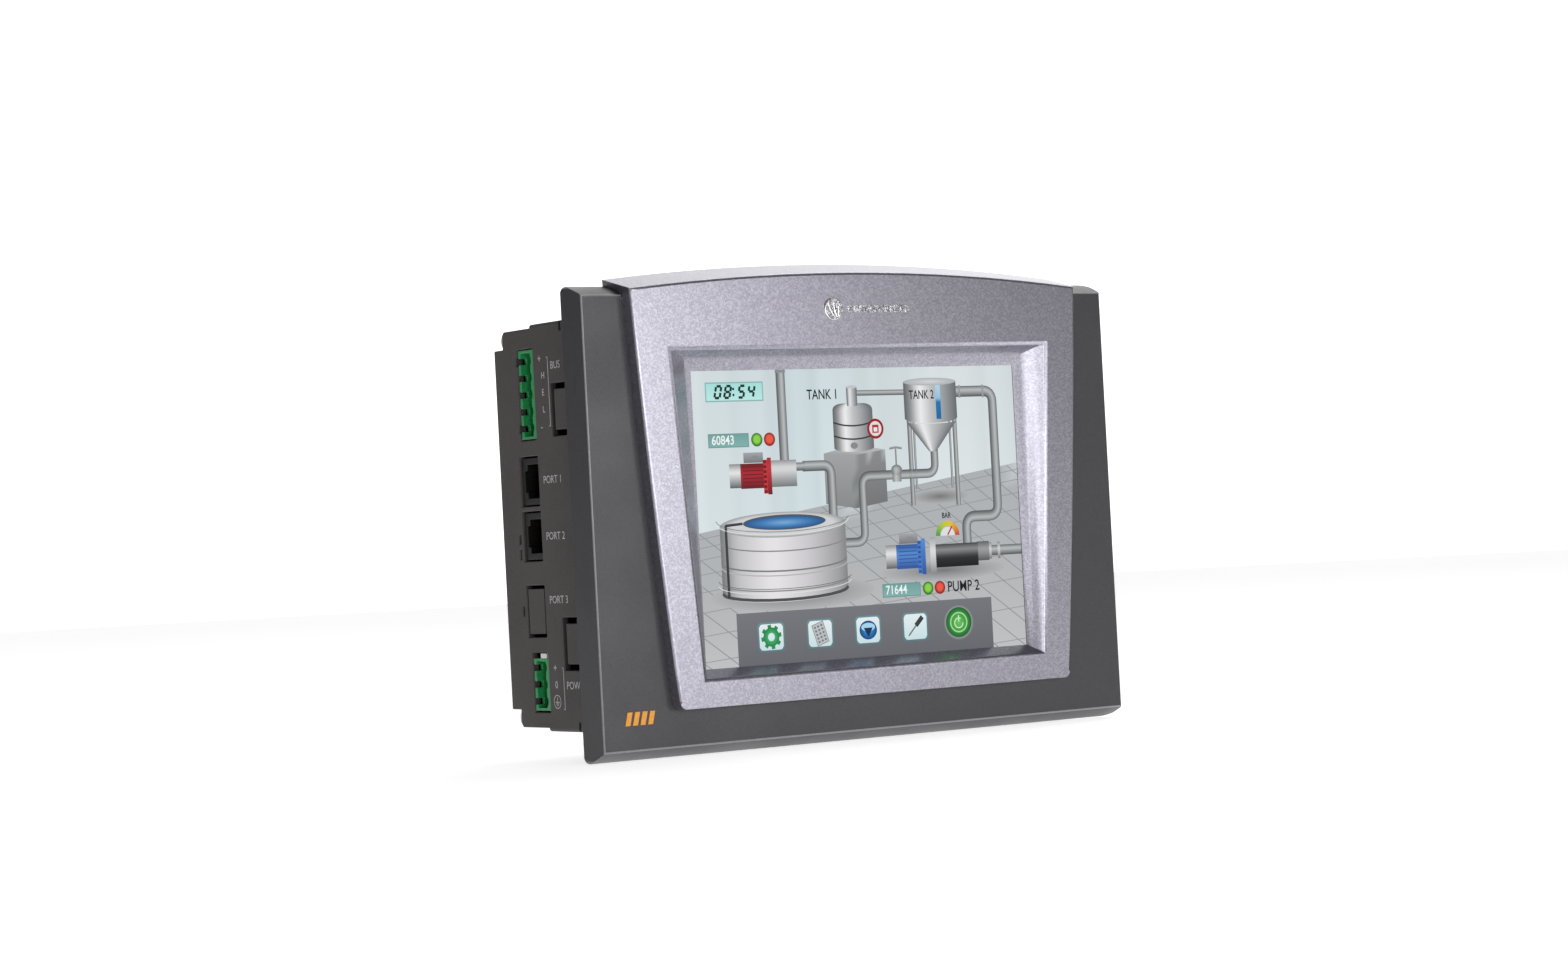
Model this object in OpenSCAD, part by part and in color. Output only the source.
// Panel-mounted operator touch panel with a plug-in terminal side.
// X runs to the right as seen from the front, Y runs back into the panel, Z runs up.
// The origin is the centre of the plane on which the flange's rear face lies.

/* [Front flange] */
// Width of the front flange
flange_w = 197; // [190:1:240]
// Height of the front flange, without the arched crown
flange_h = 140; // [138:1:170]
// Depth from the flange's rear face to the bezel's front face
bezel_depth = 10.2; // [9.8:0.1:13]
// Radius of the flange's four corners
flange_corner_r = 2.2; // [1:0.1:3.5]
// How far the top and bottom edges curve in towards the front
edge_fall = 3.3; // [1:0.1:4]
// How far each side leans in towards the front
side_lean = 0.8; // [0.2:0.1:2]
// Thickness of the bezel's front wall
bezel_wall = 2.3; // [1.6:0.1:3]

/* [Fascia] */
// How far the fascia stands in front of the bezel's face
fascia_rise = 4.5; // [3.5:0.1:6]
// Distance from the flange's side to the fascia's side, at the top
fascia_margin_top = 14.7; // [10:0.1:16]
// Distance from the flange's side to the fascia's side, at the bottom
fascia_margin_low = 25.1; // [17:0.1:28]
// Distance from the flange's bottom edge to the fascia's bottom edge
fascia_foot = 14.3; // [8:0.1:16]
// How far the fascia's sides bow outwards
fascia_bow = 0.7; // [0.1:0.1:2]
// Radius of the fascia's two bottom corners
fascia_corner_r = 2.4; // [1:0.1:4]
// Wall thickness of the fascia
fascia_wall = 2.2; // [1.5:0.1:3]
// Height of the crown's peak above the flange's top edge
crown_rise = 6.6; // [4:0.1:10]
// Height from the ends of the crown's arch to its peak
crown_sag = 4.6; // [2:0.1:6]
// How far the crown's top falls towards the front
crown_fall = 3.7; // [1:0.1:5]
// Height of the flange's top edge that the crown sits over
crown_seat = 4.5; // [3.5:0.1:5.5]

/* [Screen window] */
// Width of the window at the glass
screen_w = 121.3; // [100:0.1:124]
// Height of the window at the glass
screen_h = 88.5; // [70:0.1:90]
// How far the window's centre lies below the flange's centre
screen_drop = 0.35; // [0:0.05:1]
// Width of the window's top bevel
reveal_top = 6.4; // [3:0.1:9]
// Width of the window's bottom bevel
reveal_foot = 2.8; // [1:0.1:4]
// Width of the side bevels at their top
reveal_side_top = 10.2; // [3:0.1:11]
// Width of the side bevels at their bottom
reveal_side_low = 3.4; // [1:0.1:6]

/* [Touch screen and display] */
// How far the touch glass reaches beyond the window on each side
touch_margin = 5.3; // [4:0.1:6]
// Thickness of the touch glass
touch_t = 1.8; // [1:0.1:2]
// Thickness of the touch film
film_t = 0.25; // [0.15:0.05:0.4]
// Thickness of the seal between the fascia and the touch film
seal_t = 0.6; // [0.4:0.1:1]
// Width of the seal between the fascia and the touch film
seal_w = 4; // [2:0.1:4.5]
// Depth of the display module
display_depth = 11; // [9:0.1:13]
// How far the display module reaches beyond the window on each side
display_margin = 11.2; // [9:0.1:12]
// Thickness of the display's sheet metal frame
frame_t = 0.8; // [0.5:0.1:1.2]
// Thickness of the display cell
cell_t = 2.2; // [1.4:0.1:3]
// Radius of the backlight tubes
tube_r = 1.2; // [0.8:0.1:1.5]
// Thickness of the steel plate behind the display
bracket_t = 1.2; // [0.8:0.1:2]

/* [Case] */
// How far the flange reaches beyond the case at each side
case_lip_x = 7.3; // [6.5:0.1:12]
// How far the flange reaches beyond the case at the top and bottom
case_lip_z = 8.7; // [8.5:0.1:10]
// Wall thickness of the two case mouldings
case_wall = 2.2; // [1.8:0.1:2.8]
// Distance from the flange's rear face to the parting line
split_y = 31.2; // [31:0.1:38]
// Depth of the rear cover behind the split
cover_depth = 22.6; // [21:0.1:30]
// How far the rear cover steps in at each side
cover_step_x = 0.4; // [0.2:0.1:0.8]
// How far the rear cover steps in at the top and bottom
cover_step_z = 1.0; // [0.5:0.1:1.5]
// Height of the shelf along the rear cover's top and bottom edges
shelf_h = 5.4; // [5.2:0.1:6.5]
// Depth of that shelf from the rear face
shelf_d = 5.2; // [4:0.1:6]
// Radius of the rounded guide lugs on the shelf's ends
lug_r = 2.5; // [2:0.1:2.6]
// Length of each guide lug
lug_l = 9; // [5:0.1:12]

/* [Seal and bracket slots] */
// Width of the panel gasket
gasket_w = 2.8; // [2:0.1:3]
// Thickness of the panel gasket
gasket_t = 1.2; // [1:0.1:2]
// How far the panel gasket stands behind the flange's rear face
gasket_proud = 0.4; // [0.2:0.1:0.6]
// Distance of the bracket slots above and below the case's middle
bracket_z = 35; // [25:0.1:42]
// Height of a bracket slot
bracket_slot_h = 15.8; // [12:0.1:20]
// Width of the cuts that make up a bracket slot
bracket_slot_w = 1.8; // [1.5:0.1:2.6]
// Distance from the flange's rear face to the front end of the bracket slots
bracket_slot_y = 12.4; // [9:0.1:13]
// Length of the bracket slots towards the rear
bracket_slot_l = 8.1; // [6:0.1:9]

/* [Terminals] */
// Pole spacing of the green headers
pole_pitch = 5.08; // [5.08]
// Number of poles of the fieldbus header
bus_poles = 5; // [3:1:5]
// Number of poles of the power header
power_poles = 3; // [2:1:3]
// Height of the headers above the board
header_y = 9.4; // [8.6:0.1:10]
// Length of the headers from their face to their back
header_l = 12; // [11:0.1:14]
// Wall thickness of the headers
header_wall = 1.4; // [1:0.1:1.6]
// Thickness of the headers' front wall, with a scallop at each pole
header_front = 2.6; // [2:0.1:2.8]
// Width of the square contact pins
header_pin = 1; // [0.8:0.1:1.2]
// Middle of the fieldbus header above the case's middle
bus_z = 40.4; // [38:0.1:42]
// Middle of the power header below the case's middle
power_z = 47.2; // [44:0.1:48]
// Middle of the first jack above the case's middle
port_1_z = 14.2; // [13:0.1:16]
// Middle of the second jack below the case's middle
port_2_z = 2.4; // [1:0.1:4]
// Middle of the blank port below the case's middle
port_3_z = 25.1; // [23:0.1:27]
// Width of the modular jacks
jack_w = 14.2; // [13:0.1:15]
// Height of the modular jacks above the board
jack_y = 10.9; // [9:0.1:11]
// Length of the modular jacks
jack_l = 15.4; // [14:0.1:18]
// Width of the blank port plate
blank_w = 13.6; // [12:0.1:15]
// Height of the blank port plate
blank_y = 9.4; // [8:0.1:10]
// Gap round the pieces in the side openings
port_gap = 0.45; // [0.3:0.05:0.6]

/* [Boards] */
// Thickness of the circuit boards
board_t = 1.6; // [1:0.1:2]
// Gap between the boards' edges and the case
board_edge = 0.4; // [0.2:0.1:1]
// Distance from the parting line forward to the main board's rear face
board_inset = 1.1; // [0.8:0.1:1.5]
// Width of the rear board
rear_board_w = 150; // [140:1:160]
// Room between the rear board and the shelves above and below it
rear_board_edge = 8.9; // [7:0.1:10]
// Distance from the rear wall's inner face forward to the rear board's rear face
rear_board_inset = 5.4; // [5:0.1:6]
// Radius of the screws' shanks
screw_r = 1.45; // [1.2:0.05:1.6]

/* [Rear cover fittings] */
// Middle of the battery door to the right of the case's middle
door_x = 46; // [40:0.5:50]
// Width of the battery door
door_w = 30; // [28:0.5:34]
// Height of the battery door
door_h = 31; // [29:0.5:34]
// Thickness of the battery door
door_t = 1.5; // [1.2:0.1:1.8]
// Running clearance of the battery door in its grooves
door_gap = 0.1; // [0.08:0.01:0.15]
// Radius of the coin cell
cell_r = 10; // [8:0.5:10]
// Height of the coin cell
coin_t = 3.2; // [2:0.1:3.2]
// Middle of the selector switches to the right of the case's middle
dip_x = 10; // [0:0.5:18]
// Middle of the selector switches below the case's middle
dip_z = 36; // [30:0.5:40]
// Number of selector switches
dip_count = 4; // [4]
// Travel of each selector switch
dip_travel = 1.6; // [1:0.1:1.8]
// Middle of the module port to the right of the case's middle
module_x = 22; // [10:0.5:30]
// Middle of the module port above the case's middle
module_z = 32; // [26:0.5:36]
// Number of contacts in each row of the module port
module_poles = 20; // [10:1:20]

/* [Hidden] */
$fn = 48;

// Clearance between neighbouring fixed pieces
fit = 0.15;
// Length by which cuts run past the faces they cut through
over = 1;

half_w = flange_w / 2;
half_h = flange_h / 2;
front_y = -(bezel_depth + fascia_rise);
face_y = -bezel_depth;

// Window and the stack behind it
screen_z = -screen_drop;
seal_y = face_y + 0.6;
film_y = seal_y + seal_t;
glass_y = film_y + film_t;
glass_back = glass_y + touch_t;
touch_w = screen_w + 2 * touch_margin;
touch_h = screen_h + 2 * touch_margin;
display_w = screen_w + 2 * display_margin;
display_h = screen_h + 2 * (display_margin - 1.2);
display_y = glass_back + 0.2;
display_back = display_y + display_depth;
cell_y = display_y + frame_t + 0.1;
guide_y = cell_y + cell_t + 0.2;
guide_back = display_back - 0.5;
bracket_y = display_back + 0.2;
bracket_back = bracket_y + bracket_t;

// Case
case_w = flange_w - 2 * case_lip_x;
case_h = flange_h - 2 * case_lip_z;
case_front = face_y + bezel_wall + 0.3;
case_x = case_w / 2;
case_z = case_h / 2;
inner_x = case_x - case_wall;
inner_z = case_z - case_wall;
cover_x = case_x - cover_step_x;
cover_z = case_z - cover_step_z;
rear_y = split_y + cover_depth;
cover_front = split_y + 0.1;
shelf_y = rear_y - shelf_d;
shelf_z = cover_z - shelf_h;
cover_inner_x = cover_x - case_wall;
cover_inner_z = cover_z - case_wall;
wall_in_y = rear_y - case_wall;

// Boards
board_back = split_y - board_inset;
board_front = board_back - board_t;
board_x = inner_x - board_edge;
board_z = inner_z - board_edge - 3;
rear_board_h = 2 * (shelf_z - rear_board_edge);
rear_board_back = wall_in_y - rear_board_inset;
rear_board_front = rear_board_back - board_t;

// Fasteners: [x, z] of each group
corners = [[-1, -1], [1, -1], [1, 1], [-1, 1]];
bezel_screw_x = inner_x - 4;
bezel_screw_z = inner_z - 4.5;
bracket_screw_x = display_w / 2 + 5.5;
bracket_screw_z = display_h / 2 - 4;
case_screw_x = case_x - 21;
case_screw_z = cover_z - shelf_h / 2 - 0.1;
board_screw_x = board_x - 14.5;
board_screw_z = board_z - 5.5;
pillar_x = rear_board_w / 2 - 5;
pillar_z = rear_board_h / 2 - 5;
boss_r = 3;
head_r = 2.4;
head_t = 1.7;

// Terminals, all against the left wall
terminal_y = board_back + 0.2;
terminal_x = -case_x + 0.6;
bus_len = bus_poles * pole_pitch + 1.6;
power_len = power_poles * pole_pitch + 0.6;
header_cavity = 8.6;
blank_gap = 1.05;

// Door and battery
door_low = -shelf_z + 0.2;
door_top = door_low + door_h;
door_z = (door_low + door_top) / 2;
tongue = 0.9;
tongue_t = 0.7;
door_front = rear_y - 0.05 - door_t;
bay_floor = door_front - door_gap;
bay_pad_y = bay_floor - 1.8;
coin_y = bay_pad_y - 0.3 - coin_t;

// Selector switches
dip_pitch = 2.54;
dip_w = dip_count * dip_pitch + 1.5;
dip_h = 6.4;
dip_top = wall_in_y - 0.8;
nub = 1.2;

// Module port
module_pitch = 2.54;
module_w = module_poles * module_pitch + 9;
module_h = 8.4;
module_top = rear_y - 1.9;
cap_wall = 1.2;
cap_gap = 0.2;

// ---------- Shared shapes ----------

// A flat shape drawn in X and Z, from depth y0 back to depth y1
module slab(y0, y1) {
    translate([0, y1, 0]) rotate([90, 0, 0]) linear_extrude(y1 - y0) children();
}

// A flat shape drawn in Y and Z, from x0 to x1
module across(x0, x1) {
    translate([x0, 0, 0]) rotate([90, 0, 90]) linear_extrude(x1 - x0) children();
}

// A round bar along Y at [x, z]
module rod(p, y0, y1, r) {
    translate([p[0], y0, p[1]]) rotate([-90, 0, 0]) cylinder(h = y1 - y0, r = r);
}

module block(x0, x1, y0, y1, z0, z1) {
    translate([x0, y0, z0]) cube([x1 - x0, y1 - y0, z1 - z0]);
}

module rounded(w, h, r) {
    square([w - 2 * r, h], center = true);
    square([w, h - 2 * r], center = true);
    for (c = corners) translate([c[0] * (w / 2 - r), c[1] * (h / 2 - r)]) circle(r);
}

// One copy of the children at each of the four corners [+-x, +-z]
module at_corners(x, z) {
    for (c = corners) translate([c[0] * x, 0, c[1] * z]) children();
}

// A pan-head screw along Y: its head stands behind y_head, its shank runs forward
module screw(y_head, length) {
    rod([0, 0], y_head - length, y_head, screw_r);
    difference() {
        rod([0, 0], y_head, y_head + head_t, head_r);
        rod([0, 0], y_head + head_t - 0.9, y_head + head_t + over, screw_r * 0.8, $fn = 6);
    }
}

// A solid between closed rings of equal length, ordered from the front to the back
module loft(rings) {
    n = len(rings[0]);
    m = len(rings);
    polyhedron(
        points = [for (r = rings) each r],
        faces = concat(
            [[for (i = [n - 1 : -1 : 0]) i]],
            [[for (i = [0 : n - 1]) (m - 1) * n + i]],
            [for (j = [0 : m - 2], i = [0 : n - 1]) let (k = (i + 1) % n)
                each [[j * n + i, j * n + k, (j + 1) * n + k],
                      [j * n + i, (j + 1) * n + k, (j + 1) * n + i]]]));
}

// ---------- Outlines ----------

// Points of the edge curve from the flange's rear edge to its front edge, in Y and Z
function edge_curve(sign, n = 8) = [for (i = [0 : n]) let (t = i / n)
    [-bezel_depth * t, sign * (half_h - edge_fall * pow(t, 1.5))]];

function reversed(l) = [for (i = [len(l) - 1 : -1 : 0]) l[i]];
function mirrored(l) = [for (p = reversed(l)) [-p[0], p[1]]];

// A bowed line from p to q whose middle stands b to the left of the way it runs
function bow(p, q, b, n = 10) = [for (i = [0 : n]) let (t = i / n, d = (q - p) / norm(q - p))
    p + (q - p) * t + [-d[1], d[0]] * b * 4 * t * (1 - t)];

function corner_arc(c, r, n = 6) = [for (i = [0 : n]) let (a = 90 * i / n)
    c + r * [cos(a), -sin(a)]];

// Outline of the fascia, grown by g all round; its top is cut by the crown's cone
function fascia_right(g) = let (
        top = [half_w - fascia_margin_top + g, half_h],
        foot = [half_w - fascia_margin_low + g, -half_h + fascia_foot - g],
        r = max(0.4, fascia_corner_r + g),
        side = bow(top, foot, fascia_bow),
        low = [for (p = side) if (p[1] > foot[1] + r) p])
    concat([[top[0] + 0.4, half_h + 2 * crown_rise]], low, corner_arc([foot[0] + 0.1 - r, foot[1] + r], r));
function fascia_outline(g) = concat(fascia_right(g), mirrored(fascia_right(g)));

// Half width of the crown at the flange's top, and the radius of its arch
crown_half = half_w - fascia_margin_top;
crown_r = (crown_half * crown_half + crown_sag * crown_sag) / (2 * crown_sag);
crown_floor = case_z + crown_seat;

// Everything under the crown's arched top, lowered by s
module under_crown(s) {
    translate([0, front_y - over, half_h + crown_rise - crown_r]) rotate([-90, 0, 0])
        cylinder(h = 2 * over - front_y,
                 r1 = crown_r - crown_fall - s - over * crown_fall / -front_y,
                 r2 = crown_r - s + over * crown_fall / -front_y, $fn = 360);
}

// Ring of the window at a share t of its depth: the sides slope evenly, the top is a cove
function window_ring(y, t) = let (
        top = screen_z + screen_h / 2 + reveal_top * sqrt(max(0, 1 - t)),
        low = screen_z - screen_h / 2 - reveal_foot * (1 - t),
        xt = screen_w / 2 + reveal_side_top * (1 - t),
        xl = screen_w / 2 + reveal_side_low * (1 - t))
    [[-xl, y, low], [xl, y, low], [xt, y, top], [-xt, y, top]];

module window_cut() {
    steps = 5;
    depth = seal_y - front_y;
    loft(concat(
        [window_ring(front_y - over, 0)],
        [for (i = [0 : steps]) window_ring(front_y + depth * i / steps, i / steps)],
        [window_ring(seal_y + over, 1)]));
}

// ---------- Front ----------

module bezel_body() {
    intersection() {
        across(-half_w, half_w) polygon(concat(edge_curve(1), reversed(edge_curve(-1))));
        translate([0, 0, -half_h]) linear_extrude(flange_h)
            polygon([[-half_w, 0], [half_w, 0], [half_w - side_lean, face_y], [-half_w + side_lean, face_y]]);
        slab(face_y, 0) rounded(flange_w, flange_h, flange_corner_r);
    }
}

module outer_bezel() color([0.28, 0.27, 0.29]) {
    groove = gasket_t - gasket_proud;
    difference() {
        bezel_body();
        // Room for the case and the display
        slab(face_y + bezel_wall, over) square([case_w + 2 * fit, case_h + 2 * fit], center = true);
        translate([0, 0, screen_z])
            slab(face_y - over, over) square([touch_w + 2, touch_h + 2], center = true);
        // Seat of the crown
        intersection() {
            slab(face_y - over, over) polygon(fascia_outline(fit));
            block(-half_w, half_w, face_y - over, over, crown_floor, half_h + over);
        }
        // Groove of the panel gasket
        difference() {
            slab(-groove, over) gasket_outline(1, fit / 2);
            slab(-groove - over, 2 * over) gasket_outline(0, -fit / 2);
        }
    }
    // Bosses for the display's plate and the case
    at_corners(bracket_screw_x, bracket_screw_z) boss(face_y + bezel_wall, bracket_y - 0.05);
    at_corners(bezel_screw_x, bezel_screw_z) boss(face_y + bezel_wall, 2);
}

// A boss with a blind pilot bore that opens to the rear
module boss(y0, y1, r = boss_r) {
    difference() {
        rod([0, 0], y0 - 0.2, y1, r);
        rod([0, 0], y0 + 0.6, y1 + over, screw_r + 0.05);
    }
}

// Outer (1) or inner (0) edge of the panel gasket, grown by g
module gasket_outline(outer, g) {
    e = 0.6 + outer * gasket_w + g;
    rounded(case_w + 2 * e, case_h + 2 * e, 1.5 + outer * 1.5);
}

module silver_fascia() color([0.68, 0.67, 0.7]) {
    rim = touch_margin - 0.6;
    difference() {
        union() {
            difference() {
                intersection() {
                    slab(front_y, 0) polygon(fascia_outline(0));
                    under_crown(0);
                }
                // Clear of the bezel's face
                block(-half_w, half_w, face_y, over, -half_h, crown_floor + fit);
                // Hollow of the crown
                intersection() {
                    slab(front_y + fascia_wall, over) polygon(fascia_outline(-fascia_wall));
                    under_crown(fascia_wall);
                    block(-half_w, half_w, front_y, over, crown_floor - 4, half_h + crown_rise);
                }
            }
            // Rim that presses on the screen seal
            translate([0, 0, screen_z]) slab(face_y - 0.6, seal_y)
                square([screen_w + 2 * rim, screen_h + 2 * rim], center = true);
        }
        window_cut();
    }
}

module name_badge() color([0.78, 0.77, 0.8]) {
    z = half_h - 8.3;
    rod([-11.2, z], front_y - 0.6, front_y, 3.4);
    translate([5.6, 0, z]) slab(front_y - 0.4, front_y) rounded(24, 2.8, 1.2);
}

module accent_mark() color([0.88, 0.6, 0.1]) {
    for (i = [0 : 3])
        translate([-half_w + 8.3 + 2.6 * i, 0, -half_h + 10.8]) slab(face_y - 0.15, face_y)
            polygon([[0, 0], [1.7, 0], [2.7, 3.9], [1, 3.9]]);
}

module panel_gasket() color([0.1, 0.1, 0.1]) {
    difference() {
        slab(gasket_proud - gasket_t, gasket_proud) gasket_outline(1, 0);
        slab(gasket_proud - gasket_t - over, gasket_proud + over) gasket_outline(0, 0);
    }
}

module bezel_screws() color([0.75, 0.75, 0.77]) {
    at_corners(bezel_screw_x, bezel_screw_z) screw(4.2, 7);
}

// ---------- Touch screen and display ----------

module frame_plate(y0, y1, w, h, hole_w, hole_h) {
    translate([0, 0, screen_z]) difference() {
        slab(y0, y1) square([w, h], center = true);
        slab(y0 - over, y1 + over) square([hole_w, hole_h], center = true);
    }
}

module screen_seal() color([0.08, 0.08, 0.08])
    frame_plate(seal_y, film_y, screen_w + 2 * seal_w, screen_h + 2 * seal_w, screen_w + 0.6, screen_h + 0.6);

module touch_film() color([0.75, 0.8, 0.85, 0.4])
    translate([0, 0, screen_z]) slab(film_y, glass_y) square([touch_w - 1, touch_h - 1], center = true);

module touch_glass() color([0.8, 0.88, 0.9, 0.4])
    translate([0, 0, screen_z]) slab(glass_y, glass_back) square([touch_w, touch_h], center = true);

// Flat tail of the touch screen, led back under the display and up behind it
module touch_tail() color([0.75, 0.5, 0.15]) {
    t = 0.12;
    gap = 0.04;
    edge = screen_z - touch_h / 2 - gap;
    low = -display_h / 2 - 2.35;
    y0 = glass_y + 0.4;
    y1 = glass_back + gap;
    y2 = bracket_back + 0.4;
    across(-30, -18) polygon([[y0, edge], [y1 + t, edge], [y1 + t, low], [y2, low], [y2, low + 12],
        [y2 + t, low + 12], [y2 + t, low - t], [y1, low - t], [y1, edge - t], [y0, edge - t]]);
}

module display_frame() color([0.7, 0.71, 0.72]) {
    translate([0, 0, screen_z]) difference() {
        slab(display_y, display_back) square([display_w, display_h], center = true);
        slab(display_y - over, display_back + over) square([screen_w + 5, screen_h + 4], center = true);
        slab(display_y + frame_t, display_back + over)
            square([display_w - 2 * frame_t, display_h - 2 * frame_t], center = true);
    }
}

module display_cell() color([0.15, 0.18, 0.2])
    translate([0, 0, screen_z]) slab(cell_y, cell_y + cell_t)
        square([display_w - 2 * frame_t - 0.6, display_h - 2 * frame_t - 0.6], center = true);

// Clear plate that spreads the backlight, grooved for its tubes
module light_guide() color([0.9, 0.93, 0.95]) {
    h = display_h - 2 * frame_t - 0.8;
    difference() {
        translate([0, 0, screen_z]) slab(guide_y, guide_back)
            square([display_w - 2 * frame_t - 0.8, h], center = true);
        for (s = [-1, 1]) translate([-display_w / 2, (guide_y + guide_back) / 2, screen_z + s * (h / 2 - 3)])
            rotate([0, 90, 0]) cylinder(h = display_w, r = tube_r + 0.3);
    }
}

module backlight_tubes() color([0.95, 0.95, 0.92]) {
    h = display_h - 2 * frame_t - 0.8;
    for (s = [-1, 1])
        translate([-screen_w / 2 - 4, (guide_y + guide_back) / 2, screen_z + s * (h / 2 - 3)])
            rotate([0, 90, 0]) cylinder(h = screen_w + 8, r = tube_r);
}

module display_bracket() color([0.74, 0.75, 0.76]) {
    w = 2 * bracket_screw_x + 8;
    difference() {
        union() {
            slab(bracket_y, bracket_back) rounded(w, display_h + 4, 2);
            // Pressed stand-offs for the inverter board
            for (x = [-46, 46], z = [-34, -20]) rod([x, z], bracket_back - 0.1, bracket_back + 2.4, 2.2);
        }
        at_corners(bracket_screw_x, bracket_screw_z)
            rod([0, 0], bracket_y - over, bracket_back + over, screw_r + 0.2);
        // Cable window
        slab(bracket_y - over, bracket_back + over) translate([0, 22]) square([46, 10], center = true);
    }
}

module bracket_screws() color([0.75, 0.75, 0.77])
    at_corners(bracket_screw_x, bracket_screw_z) screw(bracket_back, 7);

inverter_y = bracket_back + 2.5;
module inverter_board() color([0.1, 0.35, 0.22])
    translate([0, 0, -27]) slab(inverter_y, inverter_y + board_t) square([100, 19], center = true);

module inverter_transformer() color([0.25, 0.25, 0.2]) {
    y = inverter_y + board_t;
    block(18, 38, y, y + 1.2, -34, -20);
    block(20, 36, y + 1.2, y + 6.4, -33, -21);
}

// Flat ribbon from the display's cable window back to the main board
module display_ribbon() color([0.8, 0.8, 0.78]) {
    y0 = guide_back + 0.1;
    across(-15, 15) polygon([[y0, 24], [y0 + 10, 24], [board_front - 2.4, 30], [board_front - 0.05, 30],
        [board_front - 0.05, 30.3], [board_front - 2.5, 30.3], [y0 + 9.9, 24.3], [y0, 24.3]]);
}

// ---------- Case ----------

// The square-cornered C of one bracket slot, in Y and Z; its open end faces the flange
module bracket_slot() {
    y1 = bracket_slot_y + bracket_slot_l;
    translate([y1 - bracket_slot_w, -bracket_slot_h / 2]) square([bracket_slot_w, bracket_slot_h]);
    for (s = [0, 1]) translate([bracket_slot_y, s ? bracket_slot_h / 2 - bracket_slot_w : -bracket_slot_h / 2])
        square([bracket_slot_l, bracket_slot_w]);
}

// Openings of the left wall for the terminals, in Y and Z
module terminal_openings() {
    y = terminal_y - 0.1;
    for (o = [[bus_z, bus_len + 0.6, header_y + 0.3], [port_1_z, jack_w + 2 * port_gap, jack_y + 0.5],
              [-port_2_z, jack_w + 2 * port_gap, jack_y + 0.5],
              [-port_3_z, blank_w + 2 * blank_gap, blank_y + 2 * blank_gap - 0.2]])
        translate([y, o[0] - o[1] / 2]) square([o[2], o[1]]);
    translate([y, -power_z - power_len / 2 - 0.5]) square([header_y + 0.3, power_len + 2.2]);
    // Keying notches behind the first and last poles of the fieldbus header
    for (s = [-1, 1]) translate([y + 5, bus_z + s * (bus_poles - 1) / 2 * pole_pitch - 1.3])
        square([header_y - 4, 2.6]);
}

module mid_case() color([0.27, 0.26, 0.26]) {
    difference() {
        slab(case_front, split_y) rounded(case_w, case_h, 1);
        slab(case_front - over, split_y + over) square([2 * inner_x, 2 * inner_z], center = true);
        across(-case_x - over, -inner_x + over) terminal_openings();
        for (z = [-bracket_z, bracket_z], x = [-case_x, inner_x])
            translate([0, 0, z]) across(x - over, x + case_wall + over) bracket_slot();
        // Short slits at the case's edges next to the flange
        for (x = [-case_x - over, case_x - 1.4], z = [-case_z - over, case_z - 3])
            block(x, x + 1.4 + over, bracket_slot_y + 0.6, bracket_slot_y + 1.7, z, z + 3 + over);
        vents(-case_z - over, -inner_z + over);
        vents(inner_z - over, case_z + over);
    }
    // Ears for the screws that hold the bezel
    for (c = corners) difference() {
        ear_z = c[1] > 0 ? bezel_screw_z - 3 : -inner_z - 0.5;
        ear_x = c[0] > 0 ? bezel_screw_x - 3 : -inner_x - 0.5;
        block(ear_x, ear_x + inner_x - bezel_screw_x + 3.5, 2.1, 4.2, ear_z, ear_z + inner_z - bezel_screw_z + 3.5);
        rod([c[0] * bezel_screw_x, c[1] * bezel_screw_z], 0, 6, screw_r + 0.2);
    }
    // Bosses for the main board, each on a rib
    for (c = corners) translate([c[0] * board_screw_x, 0, c[1] * board_screw_z]) {
        boss(18, board_front - 0.05);
        block(-0.9, 0.9, 18, board_front - 0.6, c[1] > 0 ? boss_r - 0.5 : board_screw_z - inner_z - 0.5,
              c[1] > 0 ? inner_z - board_screw_z + 0.5 : -boss_r + 0.5);
    }
    // Bosses for the case screws
    for (c = corners) translate([c[0] * case_screw_x, 0, c[1] * case_screw_z]) boss(12, split_y, 2.9);
}

module vents(z0, z1) {
    for (x = [-60 : 6 : 60]) block(x - 0.8, x + 0.8, 9, 24, z0, z1);
}

// Outside profile of the rear cover, in Y and Z
function cover_profile(w) = let (z = cover_z - w, s = shelf_z - w, y = shelf_y - w, b = rear_y - w, c = 1)
    [[cover_front - (w > 0 ? over : 0), z], [y - c, z], [y, z - c], [y, s], [b, s],
     [b, -s], [y, -s], [y, c - z], [y - c, -z], [cover_front - (w > 0 ? over : 0), -z]];

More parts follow.
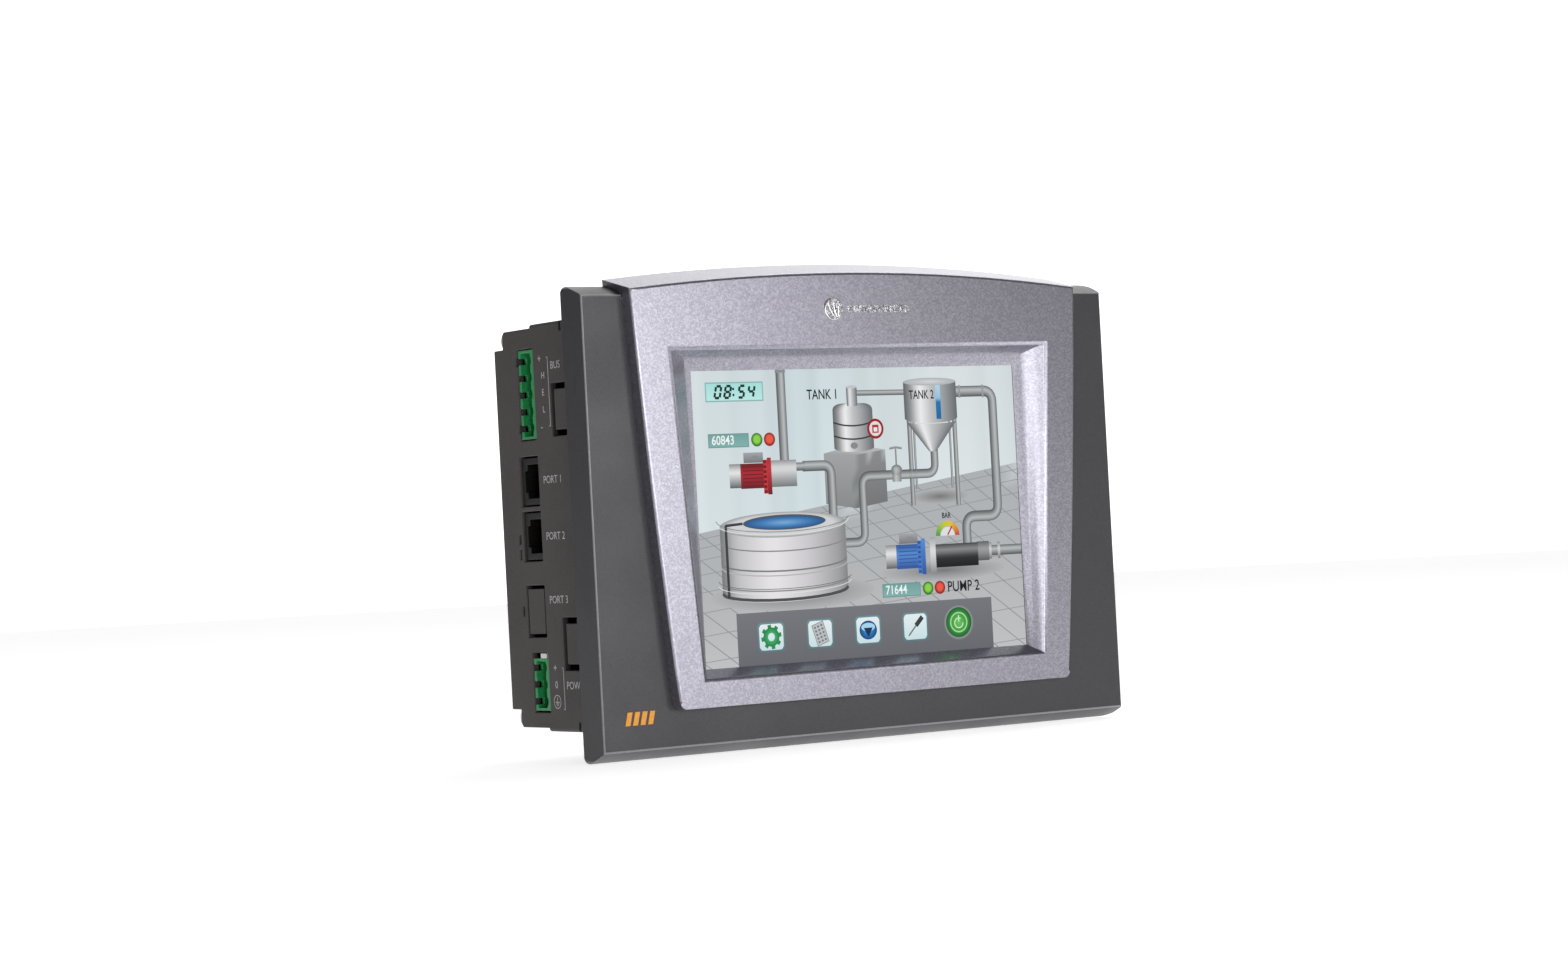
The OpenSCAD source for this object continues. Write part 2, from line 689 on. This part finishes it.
module rear_cover() color([0.27, 0.26, 0.26]) difference() {
    union() {
        difference() {
            across(-cover_x, cover_x) polygon(cover_profile(0));
            across(-cover_inner_x, cover_inner_x) polygon(cover_profile(case_wall));
        }
        // Pad round the battery opening
        block(door_x - door_w / 2 - 3, door_x + door_w / 2 + 3, bay_pad_y, rear_y - 0.4, -shelf_z + 0.5, door_top + 2);
        // Columns round the case screws
        for (c = corners) rod([c[0] * case_screw_x, c[1] * case_screw_z], cover_front, shelf_y - 0.5, 2.5);
        // Tray round the module port
        block(module_x - module_w / 2 - 4.2, module_x + module_w / 2 + 4.2, wall_in_y - 2, wall_in_y + 0.1,
              module_z - module_h / 2 - 4.2, module_z + module_h / 2 + 4.2);
    }
    across(-cover_x - over, -cover_inner_x + over) terminal_openings();
    // Narrow slots beside the jacks
    for (z = [-port_2_z - 0.7, -port_2_z - 5.4, -port_3_z + 0.2])
        block(-cover_x - over, -cover_inner_x + over, terminal_y + 12.9, terminal_y + 13.9, z - 1.5, z + 1.5);
    // Through holes of the case screws
    for (c = corners) rod([c[0] * case_screw_x, c[1] * case_screw_z], cover_front - over, shelf_y + over, screw_r + 0.2);
    // Seats of the guide lugs
    for (c = corners) lug(c, fit / 3);
    // Battery bay, its slide grooves and the opening over the coin cell
    block(door_x - door_w / 2 - 0.3, door_x + door_w / 2 + 0.3, bay_floor, rear_y + over, -shelf_z - over, door_top + 0.3);
    block(door_x - door_w / 2 - tongue - 0.3, door_x + door_w / 2 + tongue + 0.3, bay_floor,
          door_front + tongue_t + door_gap, -shelf_z - over, door_top + 0.3);
    block(door_x - cell_r - 1.5, door_x + cell_r + 1.5, bay_pad_y - over, bay_floor + over, door_z - cell_r - 1.5,
          door_z + cell_r + 1.5);
    // Window over the selector switches
    block(dip_x - dip_w / 2 - 0.8, dip_x + dip_w / 2 + 0.8, wall_in_y - over, rear_y + over,
          -dip_z - dip_h / 2 - 0.8, -dip_z + dip_h / 2 + 0.8);
    // Opening for the module port and its cap
    block(module_x - module_w / 2 - cap_wall - 0.6, module_x + module_w / 2 + cap_wall + 0.6, wall_in_y - 3,
          rear_y + over, module_z - module_h / 2 - cap_wall - 0.6, module_z + module_h / 2 + cap_wall + 0.6);
    // Seat of the rating plate
    block(-25.3, 25.3, rear_y - 0.3, rear_y + over, -19.3, 11.3);
    // Rear vents
    for (x = [-71 : 4.5 : -44]) block(x - 0.9, x + 0.9, wall_in_y - over, rear_y + over, -38, 44);
}

// A rounded lug lying along X in the end of the shelf at corner c, grown by g
module lug(c, g) {
    x = c[0] > 0 ? cover_x - 0.6 - lug_l : -cover_x + 0.6;
    translate([x - g, shelf_y - 1, c[1] * (cover_z - lug_r - 0.3)]) rotate([0, 90, 0])
        cylinder(h = lug_l + 2 * g, r = lug_r + g);
}

module guide_lugs() color([0.8, 0.8, 0.78]) for (c = corners) lug(c, 0);

module case_screws() color([0.75, 0.75, 0.77])
    at_corners(case_screw_x, case_screw_z) screw(shelf_y, shelf_y - 16);

module rating_plate() color([0.82, 0.82, 0.83]) block(-25, 25, rear_y - 0.3, rear_y, -19, 11);

// ---------- Boards ----------

module main_board() color([0.08, 0.32, 0.2]) difference() {
    slab(board_front, board_back) square([2 * board_x, 2 * board_z], center = true);
    at_corners(board_screw_x, board_screw_z) rod([0, 0], board_front - over, board_back + over, screw_r + 0.15);
    at_corners(case_screw_x, case_screw_z) rod([0, 0], board_front - over, board_back + over, 3.6);
}

module main_board_screws() color([0.75, 0.75, 0.77])
    at_corners(board_screw_x, board_screw_z) screw(board_back, 8);

module chip(x, z, w, h, t) block(x - w / 2, x + w / 2, board_back, board_back + t, z - h / 2, z + h / 2);

module logic_chips() color([0.06, 0.06, 0.07]) {
    chip(-30, 30, 28, 28, 3.4);
    chip(4, 38, 14, 22, 1.2);
    chip(4, 12, 14, 22, 1.2);
    chip(-32, 2, 18, 12, 2.3);
}

module power_transformer() color([0.3, 0.28, 0.2]) {
    block(-62, -42, board_back, board_back + 1.5, -48, -26);
    block(-61, -43, board_back + 1.5, board_back + 11, -47, -27);
    block(-59, -45, board_back + 11, board_back + 12.4, -45, -29);
}

module power_choke() color([0.35, 0.35, 0.36]) difference() {
    rod([-26, -37], board_back, board_back + 7, 8);
    rod([-26, -37], board_back - over, board_back + 8, 3.2);
}

module power_capacitors() color([0.12, 0.14, 0.3])
    for (z = [-44, -30]) rod([-8, z], board_back, board_back + 12.4, 5);

module buzzer() color([0.07, 0.07, 0.07]) difference() {
    rod([54, 36], board_back, board_back + 8.5, 6);
    rod([54, 36], board_back + 7, board_back + 9, 1);
}

// Tall plug strip between the two boards
module board_link() color([0.1, 0.1, 0.1])
    block(52, 57, board_back, rear_board_front, -22, 16);

module board_pillars() color([0.8, 0.72, 0.45])
    at_corners(pillar_x, pillar_z) rod([0, 0], board_back, rear_board_front, 2.6, $fn = 6);

module rear_board() color([0.08, 0.32, 0.2]) difference() {
    slab(rear_board_front, rear_board_back) square([rear_board_w, rear_board_h], center = true);
    at_corners(pillar_x, pillar_z) rod([0, 0], rear_board_front - over, rear_board_back + over, screw_r + 0.1);
}

module rear_board_screws() color([0.75, 0.75, 0.77])
    at_corners(pillar_x, pillar_z) screw(rear_board_back, board_t);

// ---------- Terminals in the left side ----------

// Pluggable header: open to the left, with polarising notches in its rear wall
module header(z, poles, len) {
    x0 = terminal_x;
    y0 = terminal_y;
    y1 = terminal_y + header_y;
    difference() {
        block(x0, x0 + header_l, y0, y1, z - len / 2, z + len / 2);
        block(x0 - over, x0 + header_cavity, y0 + header_front, y1 - header_wall,
              z - len / 2 + 0.9, z + len / 2 - 0.9);
        for (i = [0 : poles - 1]) let (c = z + (i - (poles - 1) / 2) * pole_pitch) {
            block(x0 - over, x0 + 2.2, y1 - header_wall - over, y1 + over, c - 0.95, c + 0.95);
            translate([x0 - over, y0 + header_front + 1.1, c]) rotate([0, 90, 0])
                cylinder(h = header_cavity, r = 1.9);
        }
    }
}

module header_pins(z, poles) {
    y = terminal_y + (header_y + header_front - header_wall) / 2;
    for (i = [0 : poles - 1]) let (c = z + (i - (poles - 1) / 2) * pole_pitch)
        block(terminal_x + header_cavity - 4, terminal_x + header_cavity, y - header_pin / 2, y + header_pin / 2,
              c - header_pin / 2, c + header_pin / 2);
}

module bus_header() color([0.2, 0.55, 0.35]) header(bus_z, bus_poles, bus_len);
module bus_header_pins() color([0.8, 0.8, 0.8]) header_pins(bus_z, bus_poles);
module power_header() color([0.2, 0.55, 0.35]) header(-power_z, power_poles, power_len);
module power_header_pins() color([0.8, 0.8, 0.8]) header_pins(-power_z, power_poles);

// Small peg on the power header's top that stops a wrong plug
module coding_key() color([0.92, 0.92, 0.9]) {
    z = -power_z + power_len / 2;
    block(terminal_x - 0.2, terminal_x + 7, terminal_y + 1.4, terminal_y + 4.8, z, z + 1.5);
}

// Modular jack: a socket open to the left with a latch recess in its rear side
module jack(z) {
    x0 = terminal_x + 0.4;
    y0 = terminal_y;
    difference() {
        block(x0, x0 + jack_l, y0, y0 + jack_y, z - jack_w / 2, z + jack_w / 2);
        block(x0 - over, x0 + 12, y0 + 1.2, y0 + 8, z - 5.1, z + 5.1);
        block(x0 - over, x0 + 12, y0 + 7.5, y0 + 9.5, z - 3.2, z + 3.2);
    }
}

module port_1_jack() color([0.08, 0.08, 0.09]) jack(port_1_z);
module port_2_jack() color([0.08, 0.08, 0.09]) jack(-port_2_z);

// Six sprung wires in each jack
module jack_contacts() color([0.85, 0.72, 0.35]) {
    x0 = terminal_x + 3;
    y0 = terminal_y + 1.25;
    for (z = [port_1_z, -port_2_z], i = [-2.5 : 2.5])
        translate([0, 0, z + 1.27 * i - 0.22]) linear_extrude(0.44)
            polygon([[x0, y0], [x0 + 9.3, y0], [x0 + 9.3, y0 + 0.4], [x0 + 8.6, y0 + 0.4],
                     [x0 + 2.2, y0 + 1.9], [x0, y0 + 0.4]]);
}

// Plate in the unused port, with two prongs that hold it
module port_3_blank() color([0.27, 0.26, 0.26]) {
    y0 = terminal_y + blank_gap;
    y1 = y0 + blank_y;
    x0 = -cover_x + 0.1;
    z = -port_3_z;
    block(x0, x0 + 1.6, y0, y1, z - blank_w / 2, z + blank_w / 2);
    for (s = [-1, 1]) translate([0, 0, z + s * (blank_w / 2 - 2)])
        block(x0 + 1.5, x0 + 6, y0 + 1.5, y1 - 1.5, -0.6, 0.6);
}

// ---------- Rear fittings ----------

module module_port() color([0.1, 0.1, 0.1]) difference() {
    block(module_x - module_w / 2, module_x + module_w / 2, rear_board_back, module_top,
          module_z - module_h / 2, module_z + module_h / 2);
    block(module_x - module_w / 2 + 1.2, module_x + module_w / 2 - 1.2, rear_board_back + 1.4, module_top + over,
          module_z - module_h / 2 + 1.2, module_z + module_h / 2 - 1.2);
}

module module_port_pins() color([0.85, 0.72, 0.35]) {
    for (i = [0 : module_poles - 1], s = [-1, 1])
        translate([module_x + (i - (module_poles - 1) / 2) * module_pitch, 0, module_z + s * module_pitch / 2])
            block(-0.32, 0.32, rear_board_back + 1.4, module_top - 0.8, -0.32, 0.32);
}

// Dust cap over the module port, with a grip bar; it pulls straight off
module module_port_cap() color([0.2, 0.2, 0.21]) {
    w = module_w + 2 * (cap_gap + cap_wall);
    h = module_h + 2 * (cap_gap + cap_wall);
    translate([module_x, 0, module_z]) difference() {
        slab(wall_in_y - 1.6, rear_y - 0.2) rounded(w, h, 1.2);
        slab(wall_in_y - 2.6, module_top + 0.15) square([module_w + 2 * cap_gap, module_h + 2 * cap_gap], center = true);
        // Finger groove on each side of the grip bar
        for (s = [-1, 1]) slab(rear_y - 0.9, rear_y) translate([0, s * 3]) square([24, 2.4], center = true);
    }
}

module battery_holder() color([0.1, 0.1, 0.1]) difference() {
    block(door_x - cell_r - 2.2, door_x + cell_r + 2.2, rear_board_back, bay_pad_y - 0.4, door_z - cell_r - 2.2,
          door_z + cell_r + 2.2);
    rod([door_x, door_z], rear_board_back - over, bay_pad_y + over, cell_r + 0.3);
}

module battery_clip() color([0.8, 0.8, 0.75])
    block(door_x - 3, door_x + 3, rear_board_back, coin_y, door_z - 6, door_z + 6);

module coin_cell() color([0.82, 0.82, 0.84]) {
    rod([door_x, door_z], coin_y, coin_y + 0.6, cell_r - 1);
    rod([door_x, door_z], coin_y + 0.6, coin_y + coin_t, cell_r);
}

// Sliding battery door with a tongue along each side and ribs for a thumb
module battery_door() color([0.27, 0.26, 0.26]) difference() {
    union() {
        block(door_x - door_w / 2, door_x + door_w / 2, door_front, door_front + door_t, door_low, door_top);
        block(door_x - door_w / 2 - tongue, door_x + door_w / 2 + tongue, door_front, door_front + tongue_t,
              door_low, door_top);
    }
    for (i = [0 : 5]) block(door_x - 8, door_x + 8, door_front + door_t - 0.4, door_front + door_t + over,
                            door_low + 4 + 1.6 * i, door_low + 4.8 + 1.6 * i);
}

module dip_block() color([0.1, 0.25, 0.6]) difference() {
    block(dip_x - dip_w / 2, dip_x + dip_w / 2, rear_board_back, dip_top, -dip_z - dip_h / 2, -dip_z + dip_h / 2);
    for (i = [0 : dip_count - 1])
        block(dip_slot_x(i) - nub / 2 - 0.15, dip_slot_x(i) + nub / 2 + 0.15, dip_top - 1.8, dip_top + over,
              dip_nub_z - nub / 2 - 0.15, dip_nub_z + nub / 2 + dip_travel + 0.15);
}

function dip_slot_x(i) = dip_x + (i - (dip_count - 1) / 2) * dip_pitch;
dip_nub_z = -dip_z - dip_travel / 2;

module dip_slider(i) color([0.95, 0.95, 0.95]) translate([dip_slot_x(i), 0, dip_nub_z])
    block(-nub / 2, nub / 2, dip_top - 1.65, dip_top + 0.7, -nub / 2, nub / 2);

module dip_slider_1() dip_slider(0);
module dip_slider_2() dip_slider(1);
module dip_slider_3() dip_slider(2);
module dip_slider_4() dip_slider(3);

outer_bezel();
silver_fascia();
name_badge();
accent_mark();
panel_gasket();
bezel_screws();
screen_seal();
touch_film();
touch_glass();
touch_tail();
display_frame();
display_cell();
light_guide();
backlight_tubes();
display_bracket();
bracket_screws();
inverter_board();
inverter_transformer();
display_ribbon();
mid_case();
rear_cover();
case_screws();
guide_lugs();
rating_plate();
main_board();
main_board_screws();
logic_chips();
power_transformer();
power_choke();
power_capacitors();
buzzer();
board_link();
board_pillars();
rear_board();
rear_board_screws();
bus_header();
bus_header_pins();
power_header();
power_header_pins();
coding_key();
port_1_jack();
port_2_jack();
jack_contacts();
port_3_blank();
module_port();
module_port_pins();
module_port_cap();
battery_holder();
battery_clip();
coin_cell();
battery_door();
dip_block();
dip_slider_1();
dip_slider_2();
dip_slider_3();
dip_slider_4();
